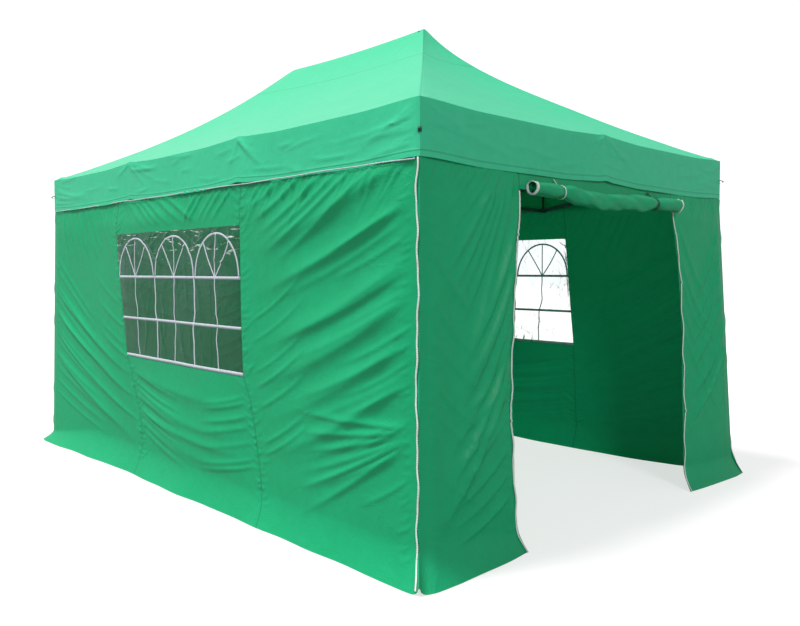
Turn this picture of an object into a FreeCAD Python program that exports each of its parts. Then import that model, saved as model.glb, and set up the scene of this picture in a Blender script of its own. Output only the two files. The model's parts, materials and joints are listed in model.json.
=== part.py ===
import FreeCAD
import Part
import math
import os

# A pop-up gazebo: four telescopic legs, a scissor truss round all four sides, two king
# posts under the ridge, a fabric roof and four fabric walls. Millimetres, +Z up, the
# origin on the ground under the middle of the roof. X runs along the long side and the
# door is in the short wall at +X.

# ---- driving dimensions
unit_span = 1405.0        # pivot to pivot across one open scissor pair
truss_height = 220.0      # upper pivots above lower pivots, truss open
folded_span = 85.0        # pivot to pivot across one folded pair
eave_z = 2272.0           # outer edge of the roof
ridge_rise = 943.0        # ridge above the eave
pivot_drop = 50.0         # upper pivots below the eave

bar_height = 30.0
bar_width = 15.0
bar_wall = 1.0
bar_plug = 24.0           # solid end of a bar, past its pivot
bar_plane = 10.0          # each bar of a pair stands this far from the side's mid plane
swing_gap = 8.0           # rounded end of a bar to the block behind it
pin_radius = 3.0
pin_clearance = 0.05
rivet_head = 1.5
cheek = 3.0
cheek_gap = 0.4
cheek_half = 12.0
core_half = 12.0          # moulded block of a mid connector
core_tall = 16.0

leg_half = 20.0           # outer tube, half its side
leg_wall = 1.2
foot_gap = 1.8            # outer tube to inner tube
foot_wall = 1.5
foot_overlap = 250.0      # inner tube inside the outer one, legs fully out
plate_thickness = 4.0
plate_out = 8.0           # foot plate past the outer tube, towards the corner
plate_in = 58.0
plate_corner = 8.0
peg_radius = 5.5
peg_offset = 52.0

sleeve_wall = 7.0         # leg bracket and slider
sleeve_drop = 22.0        # leg bracket below the upper pivots
slide_clearance = 0.6
slider_up = 20.0
slider_down = 62.0
slider_stop = 5.0         # folded slider to the end of the outer tube
button_drop = 40.0        # latch button below the slider pivots
button_shift = 12.0       # latch button beside the mid plane, clear of the bar
button_radius = 8.5
button_travel = 5.0
boss_length = 10.0
boss_wall = 2.5

post_radius = 16.0
post_wall = 1.5
hub_half = 18.0
post_cap = 14.0
stop_post_radius = 10.0   # short post on each lower mid connector
stop_post_gap = 2.0

fabric = 1.0
roof_thickness = 1.2
roof_sag = 95.0           # the roof's slope hangs below a straight line by this much
roof_levels = 3
roof_clearance = 8.0      # king post cap to the underside of the ridge
ridge_half = 30.0
valance_drop = 270.0
cap_thickness = 3.0
wall_clearance = 4.0      # slider to the inner face of a wall
wall_top_drop = 37.0      # wall tops below the eave
skirt_z = 150.0
skirt_flare = 88.0
skirt_corner_gap = 70.0
skirt_lift = 2.0
window_half = 845.0
window_low_z = 855.0
window_height = 900.0
door_half = 840.0
door_head_drop = 367.0    # door head below the eave
roll_radius = 48.0
roll_shift = 50.0         # the rolled door hangs this much towards the back
roll_half = 795.0

# ---- places worked out from them
ridge_z = eave_z + ridge_rise
upper_pivot_z = eave_z - pivot_drop
lower_pivot_z = upper_pivot_z - truss_height
bar_length = math.hypot(unit_span, truss_height)
folded_pivot_z = upper_pivot_z - math.sqrt(bar_length ** 2 - folded_span ** 2)
sleeve_half = leg_half + sleeve_wall
foot_half = leg_half - leg_wall - foot_gap
leg_pivot_reach = sleeve_half + bar_height / 2 + swing_gap
mid_pivot_reach = core_half + bar_height / 2 + swing_gap
king_pivot_reach = (leg_pivot_reach + mid_pivot_reach) / 2
hub_radius = king_pivot_reach - bar_height / 2 - swing_gap
leg_x = (2 * leg_pivot_reach + 4 * mid_pivot_reach + 3 * unit_span) / 2
leg_y = (2 * leg_pivot_reach + 2 * mid_pivot_reach + 2 * unit_span) / 2
mid_x = leg_x - leg_pivot_reach - unit_span - mid_pivot_reach
column_x = (leg_x, mid_x, -mid_x, -leg_x)
column_y = (-leg_y, 0.0, leg_y)
leg_bottom_z = folded_pivot_z - slider_down - slider_stop
leg_top_z = eave_z - pivot_drop + 32.0
wall_gap = sleeve_half + wall_clearance
wall_x = leg_x + wall_gap
wall_y = leg_y + wall_gap
wall_top_z = eave_z - wall_top_drop
window_high_z = window_low_z + window_height
door_head_z = eave_z - door_head_drop
roof_x = wall_x + 3 * fabric
roof_y = wall_y + 3 * fabric

toward_right = (1, 0)
toward_left = (-1, 0)
toward_back = (0, 1)
toward_front = (0, -1)
side_names = {0: "front", 2: "back"}
end_names = {0: "right", 3: "left"}


def vec(x, y, z):
    return FreeCAD.Vector(x, y, z)


def box(x0, x1, y0, y1, z0, z1):
    return Part.makeBox(x1 - x0, y1 - y0, z1 - z0, vec(x0, y0, z0))


def save(shape, name):
    shape.exportStep(os.path.join("parts", name + ".step"))


def block(column, along, reach, across, height):
    """A box given by ranges along a horizontal direction, across it and in height."""
    a = sorted((along[0] * reach[0], along[0] * reach[1]))
    b = sorted((along[1] * reach[0], along[1] * reach[1]))
    if along[0]:
        b = across
    else:
        a = across
    x, y = column
    return box(x + a[0], x + a[1], y + b[0], y + b[1], height[0], height[1])


def cross_pin(column, along, reach, across, z, radius):
    """A cylinder square to the horizontal direction along, at a given reach."""
    x = column[0] + along[0] * reach
    y = column[1] + along[1] * reach
    long = across[1] - across[0]
    if along[0]:
        return Part.makeCylinder(radius, long, vec(x, y + across[0], z), vec(0, 1, 0))
    return Part.makeCylinder(radius, long, vec(x + across[0], y, z), vec(1, 0, 0))


def bar_offset(along, upper):
    """Which of the two bar planes meets this fork: a pair starts at its right or front end."""
    starts = along in (toward_left, toward_back)
    return -bar_plane if starts == upper else bar_plane


def fork(column, along, start, reach, plane, z):
    """Two nylon cheeks and the rivet through them, open above and below for the bar."""
    inner = bar_width / 2 + cheek_gap
    solids = []
    for low in (plane - inner - cheek, plane + inner):
        across = (low, low + cheek)
        solids.append(block(column, along, (start, reach), across, (z - cheek_half, z + cheek_half)))
        solids.append(cross_pin(column, along, reach, across, z, cheek_half))
    outer = inner + cheek
    ends = (plane - outer - rivet_head, plane + outer + rivet_head)
    solids.append(cross_pin(column, along, reach, ends, z, pin_radius))
    for low in (ends[0], ends[1] - rivet_head):
        across = (low, low + rivet_head)
        solids.append(cross_pin(column, along, reach, across, z, 2 * pin_radius))
    return solids


def fused(solids):
    shape = solids[0].fuse(solids[1:])
    return shape.removeSplitter()


def place_bar(shape, start, end):
    """Turns a bar drawn along +X into the vertical plane from start to end."""
    run = end - start
    level = math.hypot(run.x, run.y)
    shape.rotate(vec(0, 0, 0), vec(0, 1, 0), -math.degrees(math.atan2(run.z, level)))
    shape.rotate(vec(0, 0, 0), vec(0, 0, 1), math.degrees(math.atan2(run.y, run.x)))
    shape.translate(start)
    return shape


def make_bar(start, end, crossing):
    """A flat-sided tube with plugged, rounded ends. crossing is hole, rivet or none."""
    half_h = bar_height / 2
    half_w = bar_width / 2
    inner_h = half_h - bar_wall
    inner_w = half_w - bar_wall
    bar = box(0, bar_length, -half_w, half_w, -half_h, half_h)
    bar = bar.cut(box(bar_plug, bar_length - bar_plug, -inner_w, inner_w, -inner_h, inner_h))
    for end_x in (0, bar_length):
        round_end = Part.makeCylinder(half_h, bar_width, vec(end_x, -half_w, 0), vec(0, 1, 0))
        bar = bar.fuse(round_end)
    for end_x in (0, bar_length):
        hole = Part.makeCylinder(pin_radius + pin_clearance, bar_width, vec(end_x, -half_w, 0),
                                 vec(0, 1, 0))
        bar = bar.cut(hole)
    bar = bar.removeSplitter()
    middle = bar_length / 2
    if crossing == "hole":
        hole = Part.makeCylinder(pin_radius + pin_clearance, bar_width, vec(middle, -half_w, 0),
                                 vec(0, 1, 0))
        bar = bar.cut(hole)
    if crossing == "rivet":
        far = 2 * bar_plane + half_w + cheek_gap
        rivet = Part.makeCylinder(pin_radius, far + half_w + 2 * rivet_head,
                                  vec(middle, half_w + rivet_head, 0), vec(0, -1, 0))
        near_head = Part.makeCylinder(2 * pin_radius, rivet_head, vec(middle, half_w, 0),
                                      vec(0, 1, 0))
        far_head = Part.makeCylinder(2 * pin_radius, rivet_head, vec(middle, -far, 0),
                                     vec(0, -1, 0))
        washer = Part.makeCylinder(2 * pin_radius, 2 * (bar_plane - half_w) - cheek_gap,
                                   vec(middle, -half_w, 0), vec(0, -1, 0))
        bar = bar.fuse([rivet, near_head, far_head, washer])
    return place_bar(bar, start, end)


def make_pair(names, column_a, reach_a, column_b, reach_b, along):
    """The two crossed bars between two columns, the first one falling away from column a."""
    def pivot(column, reach, sign, plane, z):
        x = column[0] + sign * along[0] * reach
        y = column[1] + sign * along[1] * reach
        if along[0]:
            return vec(x, y + plane, z)
        return vec(x + plane, y, z)

    falling = (pivot(column_a, reach_a, 1, -bar_plane, upper_pivot_z),
               pivot(column_b, reach_b, -1, -bar_plane, lower_pivot_z))
    rising = (pivot(column_a, reach_a, 1, bar_plane, lower_pivot_z),
              pivot(column_b, reach_b, -1, bar_plane, upper_pivot_z))
    save(make_bar(falling[0], falling[1], "rivet"), names[0])
    save(make_bar(rising[0], rising[1], "hole"), names[1])


def make_connector(column, directions, upper, inward=None):
    """A moulded block with a fork for each bar that meets it."""
    side = bar_plane + bar_width / 2 + cheek_gap + cheek
    z = upper_pivot_z if upper else lower_pivot_z
    along = directions[0]
    solids = [block(column, along, (-core_half, core_half), (-side, side),
                    (z - core_tall, z + core_tall))]
    for direction in directions:
        solids += fork(column, direction, 0, mid_pivot_reach, bar_offset(direction, upper), z)
    if inward:
        solids += fork(column, inward, 0, king_pivot_reach, 0.0, z)
    x, y = column
    if upper:
        cap = Part.makeCylinder(post_radius, leg_top_z + cap_thickness - z - core_tall,
                                vec(x, y, z + core_tall))
        solids.append(cap)
    else:
        post = Part.makeCylinder(stop_post_radius, truss_height - 2 * core_tall - stop_post_gap,
                                 vec(x, y, z + core_tall))
        solids.append(post)
    return fused(solids)


def square_sleeve(column, half, inner, z0, z1):
    x, y = column
    outer = box(x - half, x + half, y - half, y + half, z0, z1)
    return outer.cut(box(x - inner, x + inner, y - inner, y + inner, z0, z1))


def make_leg(column, directions):
    """The outer tube and the moulded bracket that caps it."""
    x, y = column
    tube = square_sleeve(column, leg_half, leg_half - leg_wall, leg_bottom_z, leg_top_z)
    solids = [square_sleeve(column, sleeve_half, leg_half, upper_pivot_z - sleeve_drop, leg_top_z)]
    solids.append(box(x - sleeve_half, x + sleeve_half, y - sleeve_half, y + sleeve_half,
                      leg_top_z, leg_top_z + cap_thickness))
    for direction in directions:
        solids += fork(column, direction, leg_half, leg_pivot_reach,
                       bar_offset(direction, True), upper_pivot_z)
    return Part.makeCompound([tube, fused(solids)])


def button_place(column, directions):
    """Where the latch button comes through the slider: on its face along the long side."""
    along = directions[0]
    off_plane = -math.copysign(button_shift, bar_offset(along, False))
    return along, column[1] + off_plane, lower_pivot_z - button_drop


def make_slider(column, directions):
    x, y = column
    inner = leg_half + slide_clearance
    low = lower_pivot_z - slider_down
    solids = [square_sleeve(column, sleeve_half, inner, low, lower_pivot_z + slider_up)]
    for direction in directions:
        solids += fork(column, direction, sleeve_half - cheek, leg_pivot_reach,
                       bar_offset(direction, False), lower_pivot_z)
    along, button_y, button_z = button_place(column, directions)
    boss = Part.makeCylinder(button_radius + boss_wall, boss_length,
                             vec(x + along[0] * sleeve_half, button_y, button_z),
                             vec(along[0], 0, 0))
    solids.append(boss)
    bore = Part.makeCylinder(button_radius + pin_clearance, boss_length + sleeve_half - inner,
                             vec(x + along[0] * inner, button_y, button_z), vec(along[0], 0, 0))
    return fused(solids).cut(bore)


def make_latch(column, directions):
    """The sprung thumb button, standing its travel proud of the boss."""
    along, button_y, button_z = button_place(column, directions)
    start = leg_half + slide_clearance + button_travel
    finish = sleeve_half + boss_length + button_travel
    button = Part.makeCylinder(button_radius, finish - start,
                               vec(column[0] + along[0] * start, button_y, button_z),
                               vec(along[0], 0, 0))
    rim = [edge for edge in button.Edges
           if abs(edge.CenterOfMass.x - column[0]) > finish - 0.1]
    return button.makeFillet(1.5, rim)


def make_foot(column):
    """The inner tube welded to its foot plate, with a peg hole on the inner diagonal."""
    x, y = column
    out_x = math.copysign(1, x)
    out_y = math.copysign(1, y)
    out = leg_half + plate_out
    back = leg_half + plate_in
    xs = sorted((x + out_x * out, x - out_x * back))
    ys = sorted((y + out_y * out, y - out_y * back))
    plate = box(xs[0], xs[1], ys[0], ys[1], 0, plate_thickness)
    corners = [edge for edge in plate.Edges
               if abs(edge.tangentAt(edge.FirstParameter).z) > 0.9]
    plate = plate.makeFillet(plate_corner, corners)
    hole = Part.makeCylinder(peg_radius, plate_thickness,
                             vec(x - out_x * peg_offset, y - out_y * peg_offset, 0))
    plate = plate.cut(hole)
    tube = square_sleeve(column, foot_half, foot_half - foot_wall, plate_thickness,
                         leg_bottom_z + foot_overlap)
    return Part.makeCompound([plate, tube])


def make_king_post(x):
    """The pole under the ridge, with its hub for the two bars of the cross truss."""
    column = (x, 0.0)
    low = lower_pivot_z - hub_half
    high = ridge_z - roof_thickness - roof_clearance
    long = high - post_cap - low
    pole = Part.makeCylinder(post_radius, long, vec(x, 0, low))
    pole = pole.cut(Part.makeCylinder(post_radius - post_wall, long, vec(x, 0, low)))
    hub = Part.makeCylinder(hub_radius, 2 * hub_half, vec(x, 0, low))
    solids = [hub]
    for along in (toward_front, toward_back):
        solids += fork(column, along, 0, king_pivot_reach, 0.0, lower_pivot_z)
    hub = fused(solids).cut(Part.makeCylinder(post_radius, 2 * hub_half, vec(x, 0, low)))
    cap = Part.makeCylinder(post_radius + 6.0, post_cap, vec(x, 0, high - post_cap))
    rim = [edge for edge in cap.Edges if edge.CenterOfMass.z > high - 0.1]
    cap = cap.makeFillet(6.0, rim)
    return Part.makeCompound([pole, hub, cap])


def roof_ring(level):
    """Half length, half width and height of the roof at a level from 0, eave, to 1, ridge."""
    inward = (roof_y - ridge_half) * level
    straight = eave_z + (ridge_z - eave_z) * level
    return roof_x - inward, roof_y - inward, straight - roof_sag * 4 * level * (1 - level)


def prism(points, depth):
    face = Part.Face(Part.makePolygon(points + points[:1]))
    return face.extrude(depth)


def make_canopy():
    """The roof in rings of flat panels that meet on the mitres, and the valance below."""
    solids = []
    down = vec(0, 0, -roof_thickness)
    for step in range(roof_levels):
        ax, ay, az = roof_ring(step / roof_levels)
        bx, by, bz = roof_ring((step + 1) / roof_levels)
        for s in (1, -1):
            solids.append(prism([vec(s * ax, -ay, az), vec(s * ax, ay, az),
                                 vec(s * bx, by, bz), vec(s * bx, -by, bz)], down))
            solids.append(prism([vec(-ax, s * ay, az), vec(ax, s * ay, az),
                                 vec(bx, s * by, bz), vec(-bx, s * by, bz)], down))
    tx, ty, tz = roof_ring(1)
    solids.append(box(-tx, tx, -ty, ty, tz - roof_thickness, tz))
    low = eave_z - valance_drop
    high = eave_z - roof_thickness
    for s in (1, -1):
        y = sorted((s * roof_y, s * (roof_y - fabric)))
        x = sorted((s * roof_x, s * (roof_x - fabric)))
        solids.append(box(-roof_x, roof_x, y[0], y[1], low, high))
        solids.append(box(x[0], x[1], -roof_y + fabric, roof_y - fabric, low, high))
    return Part.makeCompound(solids)


def make_wall(side, panels, skirts):
    """Flat panels and sloping skirts. side is +X, -X, +Y or -Y; panels are (a0, a1, z0, z1)."""
    along_x = side[0] == 0
    s = side[1] if along_x else side[0]
    plane = wall_y if along_x else wall_x
    depth = sorted((s * plane, s * (plane + fabric)))
    solids = []
    for a0, a1, z0, z1 in panels:
        if along_x:
            solids.append(box(a0, a1, depth[0], depth[1], z0, z1))
        else:
            solids.append(box(depth[0], depth[1], a0, a1, z0, z1))
    outline = ((plane, skirt_z), (plane + fabric, skirt_z),
               (plane + skirt_flare, skirt_lift), (plane + skirt_flare - fabric, skirt_lift))
    for a0, a1 in skirts:
        if along_x:
            points = [vec(a0, s * p, z) for p, z in outline]
            solids.append(prism(points, vec(a1 - a0, 0, 0)))
        else:
            points = [vec(s * p, a0, z) for p, z in outline]
            solids.append(prism(points, vec(0, a1 - a0, 0)))
    return Part.makeCompound(solids)


os.makedirs("parts", exist_ok=True)

# ---- the truss: three pairs on each long side, two on each short side
for j, side_name in side_names.items():
    for k in range(3):
        reach_a = leg_pivot_reach if k == 0 else mid_pivot_reach
        reach_b = leg_pivot_reach if k == 2 else mid_pivot_reach
        bar_names = (f"bar_{side_name}_{k + 1}_falling", f"bar_{side_name}_{k + 1}_rising")
        make_pair(bar_names, (column_x[k], column_y[j]), reach_a,
                  (column_x[k + 1], column_y[j]), reach_b, toward_left)
for i, end_name in end_names.items():
    for k in range(2):
        reach_a = leg_pivot_reach if k == 0 else mid_pivot_reach
        reach_b = mid_pivot_reach if k == 0 else leg_pivot_reach
        bar_names = (f"bar_{end_name}_{k + 1}_falling", f"bar_{end_name}_{k + 1}_rising")
        make_pair(bar_names, (column_x[i], column_y[k]), reach_a,
                  (column_x[i], column_y[k + 1]), reach_b, toward_back)

# ---- connectors between the pairs
for j, side_name in side_names.items():
    inward = toward_back if j == 0 else toward_front
    for i in (1, 2):
        place = (column_x[i], column_y[j])
        ways = (toward_right, toward_left)
        save(make_connector(place, ways, True, inward), f"connector_{side_name}_{i}_upper")
        save(make_connector(place, ways, False), f"connector_{side_name}_{i}_lower")
for i, end_name in end_names.items():
    place = (column_x[i], column_y[1])
    ways = (toward_back, toward_front)
    save(make_connector(place, ways, True), f"connector_{end_name}_upper")
    save(make_connector(place, ways, False), f"connector_{end_name}_lower")

# ---- king posts and the cross trusses that carry them
for i in (1, 2):
    x = column_x[i]
    save(make_king_post(x), f"king_post_{i}")
    for j, side_name in side_names.items():
        inward = 1 if j == 0 else -1
        top = vec(x, column_y[j] + inward * king_pivot_reach, upper_pivot_z)
        bottom = vec(x, -inward * king_pivot_reach, lower_pivot_z)
        save(make_bar(top, bottom, "none"), f"king_bar_{side_name}_{i}")

# ---- legs, sliders, latches and feet
for i, end_name in end_names.items():
    for j, side_name in side_names.items():
        place = (column_x[i], column_y[j])
        ways = (toward_left if i == 0 else toward_right, toward_back if j == 0 else toward_front)
        corner = f"{side_name}_{end_name}"
        save(make_leg(place, ways), f"leg_{corner}")
        save(make_slider(place, ways), f"slider_{corner}")
        save(make_latch(place, ways), f"latch_{corner}")
        save(make_foot(place), f"foot_{corner}")

# ---- the cover: roof, three closed walls, the door wall and its rolled-up door
save(make_canopy(), "canopy")
wall_end = wall_x - fabric
long_panels = [(-wall_end, -window_half, skirt_z, wall_top_z),
               (-window_half, window_half, window_high_z, wall_top_z),
               (-window_half, window_half, window_low_z, window_high_z),
               (-window_half, window_half, skirt_z, window_low_z),
               (window_half, wall_end, skirt_z, wall_top_z)]
long_skirts = [(-wall_x + skirt_corner_gap, wall_x - skirt_corner_gap)]
save(make_wall((0, -1), long_panels, long_skirts), "wall_front")
save(make_wall((0, 1), long_panels, long_skirts), "wall_back")
short_end = wall_y - fabric
short_skirt = wall_y - skirt_corner_gap
left_panels = [(-short_end, 0.0, skirt_z, wall_top_z), (0.0, short_end, skirt_z, wall_top_z)]
save(make_wall((-1, 0), left_panels, [(-short_skirt, short_skirt)]), "wall_left")
door_panels = [(-short_end, -door_half, skirt_z, wall_top_z),
               (-door_half, door_half, door_head_z, wall_top_z),
               (door_half, short_end, skirt_z, wall_top_z)]
door_skirts = [(-short_skirt, -door_half), (door_half, short_skirt)]
save(make_wall((1, 0), door_panels, door_skirts), "wall_door")
roll_x = wall_x + fabric + roll_radius + 0.5
roll = Part.makeCylinder(roll_radius, 2 * roll_half,
                         vec(roll_x, roll_shift - roll_half, door_head_z), vec(0, 1, 0))
save(roll, "door_rolled")
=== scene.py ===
import json
import math

import bmesh
import bpy
import numpy as np
from mathutils import Matrix, Vector

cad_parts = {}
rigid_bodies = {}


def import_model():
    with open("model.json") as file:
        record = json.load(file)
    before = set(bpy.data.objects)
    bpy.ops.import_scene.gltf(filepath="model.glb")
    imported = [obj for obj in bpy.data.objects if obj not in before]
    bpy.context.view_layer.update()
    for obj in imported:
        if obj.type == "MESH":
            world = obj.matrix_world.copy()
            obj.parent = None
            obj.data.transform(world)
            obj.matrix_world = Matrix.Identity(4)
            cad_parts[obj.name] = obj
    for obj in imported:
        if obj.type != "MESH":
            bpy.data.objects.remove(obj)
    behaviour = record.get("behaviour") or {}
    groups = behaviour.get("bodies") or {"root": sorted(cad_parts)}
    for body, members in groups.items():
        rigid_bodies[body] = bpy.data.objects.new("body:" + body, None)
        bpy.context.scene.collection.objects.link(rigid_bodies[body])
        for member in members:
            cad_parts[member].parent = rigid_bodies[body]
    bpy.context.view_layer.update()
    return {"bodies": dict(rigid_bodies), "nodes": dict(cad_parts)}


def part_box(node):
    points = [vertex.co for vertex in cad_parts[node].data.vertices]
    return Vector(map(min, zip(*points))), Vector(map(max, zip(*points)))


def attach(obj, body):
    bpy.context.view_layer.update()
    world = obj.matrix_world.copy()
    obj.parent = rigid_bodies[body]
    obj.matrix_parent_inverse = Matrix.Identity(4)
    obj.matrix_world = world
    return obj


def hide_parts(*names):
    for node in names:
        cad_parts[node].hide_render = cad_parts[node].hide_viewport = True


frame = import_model()
bodies, nodes = frame["bodies"], frame["nodes"]

# ---- camera
# A view of the near corner, from the height of a person's chest. The gazebo is seen from
# outside with the window wall on the left and the door wall on the right.
camera_place = (4.765, -4.014, 1.484)
camera_yaw = math.radians(46.60)
camera_pitch = math.radians(-3.12)
camera_data = bpy.data.cameras.new("camera")
camera_data.sensor_width = 36.0
camera_data.lens = 34.86
camera_data.clip_end = 200.0
camera = bpy.data.objects.new("camera", camera_data)
camera.location = camera_place
camera.rotation_euler = (math.pi / 2 + camera_pitch, 0.0, camera_yaw)
bpy.context.scene.collection.objects.link(camera)
bpy.context.scene.camera = camera

# ---- studio
# A pale seamless floor, a white surround, and three broad soft lights: the main one high in front of
# the long side, a lower one on the door side, and a weak low one from behind on the left. The floor
# is dim to all but the camera, so it throws little light back up, as turf does.
floor_half = 60.0


def linear(hex_code):
    """Linear colour, with alpha, of an sRGB hex code."""
    parts = [int(hex_code[i:i + 2], 16) / 255 for i in (0, 2, 4)]
    return [p / 12.92 if p <= 0.04045 else ((p + 0.055) / 1.055) ** 2.4 for p in parts] + [1.0]


def add_node(tree, kind, sockets=None, **settings):
    """One node with its settings; each socket gets a value, or a link from another socket."""
    made = tree.nodes.new("ShaderNode" + kind)
    for key, value in settings.items():
        setattr(made, key, value)
    for key, value in (sockets or {}).items():
        if isinstance(value, bpy.types.NodeSocket):
            tree.links.new(value, made.inputs[key])
        else:
            made.inputs[key].default_value = value
    return made


def new_material(name):
    """An empty node material and its tree."""
    made = bpy.data.materials.new(name)
    made.use_nodes = True
    made.node_tree.nodes.clear()
    return made, made.node_tree


world = bpy.data.worlds.new("white_surround")
world.use_nodes = True
tree = world.node_tree
tree.nodes.clear()
seen = add_node(tree, "LightPath").outputs["Is Camera Ray"]
mirrored = tree.nodes[0].outputs["Is Glossy Ray"]
sky_soft, sky_shown, sky_mirrored = 0.34, 1.20, 0.55
lift = add_node(tree, "Math", {0: seen, 1: sky_shown - sky_soft, 2: sky_soft},
                operation="MULTIPLY_ADD")
strength = add_node(tree, "Math", {0: mirrored, 1: sky_mirrored - sky_soft, 2: lift.outputs[0]},
                    operation="MULTIPLY_ADD")
sky = add_node(tree, "Background", {"Color": linear("FAFCFF"), "Strength": strength.outputs[0]})
add_node(tree, "OutputWorld", {"Surface": sky.outputs[0]})
bpy.context.scene.world = world
bpy.context.scene.view_settings.view_transform = "Standard"


def soft_sun(name, toward, strength, spread, tint):
    """Even light from one direction, as from a very large soft box far away."""
    data = bpy.data.lights.new(name, "SUN")
    data.energy, data.angle, data.color = strength, math.radians(spread), linear(tint)[:3]
    lamp = bpy.data.objects.new(name, data)
    lamp.rotation_euler = Vector(toward).to_track_quat("-Z", "Y").to_euler()
    bpy.context.scene.collection.objects.link(lamp)


soft_sun("main_light", (0.20, 0.42, -0.885), 4.25, 16.0, "FFFDF8")
soft_sun("low_light", (0.80, -0.45, -0.40), 0.20, 40.0, "FFFFFF")
soft_sun("door_light", (-0.80, 0.42, -0.45), 1.25, 16.0, "FFFFFF")

bpy.ops.object.select_all(action="DESELECT")
bpy.ops.mesh.primitive_plane_add(size=2 * floor_half)
floor = bpy.context.object
floor.name = "studio_floor"
floor_paint, tree = new_material("matt_white_studio_floor")
grain = add_node(tree, "TexNoise", {"Scale": 40.0, "Detail": 3.0})
rough = add_node(tree, "MapRange", {"Value": grain.outputs["Fac"], "To Min": 0.86, "To Max": 0.94})
pale = add_node(tree, "BsdfPrincipled", {
    "Base Color": linear("A8A8A8"), "Roughness": rough.outputs[0], "Specular IOR Level": 0.05,
    "Emission Color": (1, 1, 1, 1), "Emission Strength": 0.66})
dim = add_node(tree, "BsdfDiffuse", {"Color": linear("8A8F8C")})
straight = add_node(tree, "LightPath").outputs["Is Camera Ray"]
paint = add_node(tree, "MixShader", {0: straight, 1: dim.outputs[0], 2: pale.outputs[0]})
add_node(tree, "OutputMaterial", {"Surface": paint.outputs[0]})
floor.data.materials.append(floor_paint)

# ---- frame: legs, truss bars, king posts
# Thin-walled steel tube, cut, drilled, riveted, and powder-coated dark grey: a low sheen with the
# faint orange peel of baked powder. The king poles are a paler grey coat.


def steel_coat(tree, colour, pale, place):
    """Powder coat on steel tube: orange peel about 1.5 mm across, and dust in soft clouds."""
    peel = add_node(tree, "TexNoise", {"Vector": place, "Scale": 650.0, "Detail": 2.0})
    cloud = add_node(tree, "TexNoise", {"Vector": place, "Scale": 9.0, "Detail": 5.0})
    dust = add_node(tree, "MapRange", {
        "Value": cloud.outputs["Fac"], "From Min": 0.42, "From Max": 0.75})
    shade = add_node(tree, "Mix", {
        "Factor": dust.outputs[0], "A": linear(colour), "B": linear(pale)}, data_type="RGBA")
    gloss = add_node(tree, "MapRange", {
        "Value": cloud.outputs["Fac"], "To Min": 0.34, "To Max": 0.52})
    bump = add_node(tree, "Bump", {
        "Height": peel.outputs["Fac"], "Strength": 0.25, "Distance": 0.0004})
    return add_node(tree, "BsdfPrincipled", {
        "Base Color": shade.outputs["Result"], "Roughness": gloss.outputs[0],
        "Normal": bump.outputs[0], "Specular IOR Level": 0.5})


def moulded_nylon(tree, colour, pale, place):
    """Moulded nylon: a fine spark-eroded grain, about 1 mm, and slight flow marks."""
    pits = add_node(tree, "TexNoise", {"Vector": place, "Scale": 900.0, "Detail": 3.0})
    flow = add_node(tree, "TexNoise", {
        "Vector": place, "Scale": 30.0, "Detail": 4.0, "Distortion": 1.5})
    shade = add_node(tree, "Mix", {
        "Factor": flow.outputs["Fac"], "A": linear(colour), "B": linear(pale)}, data_type="RGBA")
    gloss = add_node(tree, "MapRange", {
        "Value": flow.outputs["Fac"], "To Min": 0.45, "To Max": 0.62})
    bump = add_node(tree, "Bump", {
        "Height": pits.outputs["Fac"], "Strength": 0.3, "Distance": 0.0003})
    return add_node(tree, "BsdfPrincipled", {
        "Base Color": shade.outputs["Result"], "Roughness": gloss.outputs[0],
        "Normal": bump.outputs[0], "IOR": 1.53})


def finish_material(tree, shader):
    add_node(tree, "OutputMaterial", {"Surface": shader.outputs[0]})


def give(piece, material):
    """The piece has this one material."""
    piece.data.materials.clear()
    piece.data.materials.append(material)


dark_coat, tree = new_material("dark_grey_powder_coated_steel")
finish_material(tree, steel_coat(tree, "34373A", "4A4E52",
                                 add_node(tree, "TexCoord").outputs["Object"]))

# The leg's top bracket is moulded nylon, from 2.2 m up; below it is the coated tube.
bracket_low_z = 2.2
leg_finish, tree = new_material("coated_leg_tube_with_nylon_bracket")
place = add_node(tree, "TexCoord").outputs["Object"]
height = add_node(tree, "SeparateXYZ", {0: place}).outputs["Z"]
is_bracket = add_node(tree, "Math", {0: height, 1: bracket_low_z}, operation="GREATER_THAN")
finish_material(tree, add_node(tree, "MixShader", {
    0: is_bracket.outputs[0],
    1: steel_coat(tree, "34373A", "4A4E52", place).outputs[0],
    2: moulded_nylon(tree, "17181A", "232528", place).outputs[0]}))

# The king pole is pale between its black hub and its black cap.
hub_top_z, cap_low_z = 2.0205, 3.1915
pole_finish, tree = new_material("pale_grey_coated_pole_with_nylon_ends")
place = add_node(tree, "TexCoord").outputs["Object"]
height = add_node(tree, "SeparateXYZ", {0: place}).outputs["Z"]
above_hub = add_node(tree, "Math", {0: height, 1: hub_top_z}, operation="GREATER_THAN")
below_cap = add_node(tree, "Math", {0: height, 1: cap_low_z}, operation="LESS_THAN")
is_pole = add_node(tree, "Math", {0: above_hub.outputs[0], 1: below_cap.outputs[0]},
                   operation="MULTIPLY")
finish_material(tree, add_node(tree, "MixShader", {
    0: is_pole.outputs[0],
    1: moulded_nylon(tree, "17181A", "232528", place).outputs[0],
    2: steel_coat(tree, "8E9498", "A6ABAF", place).outputs[0]}))

for name, node in nodes.items():
    if name.startswith(("bar_", "king_bar_")):
        give(node, dark_coat)
    elif name.startswith("leg_"):
        give(node, leg_finish)
    elif name.startswith("king_post"):
        give(node, pole_finish)

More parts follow.
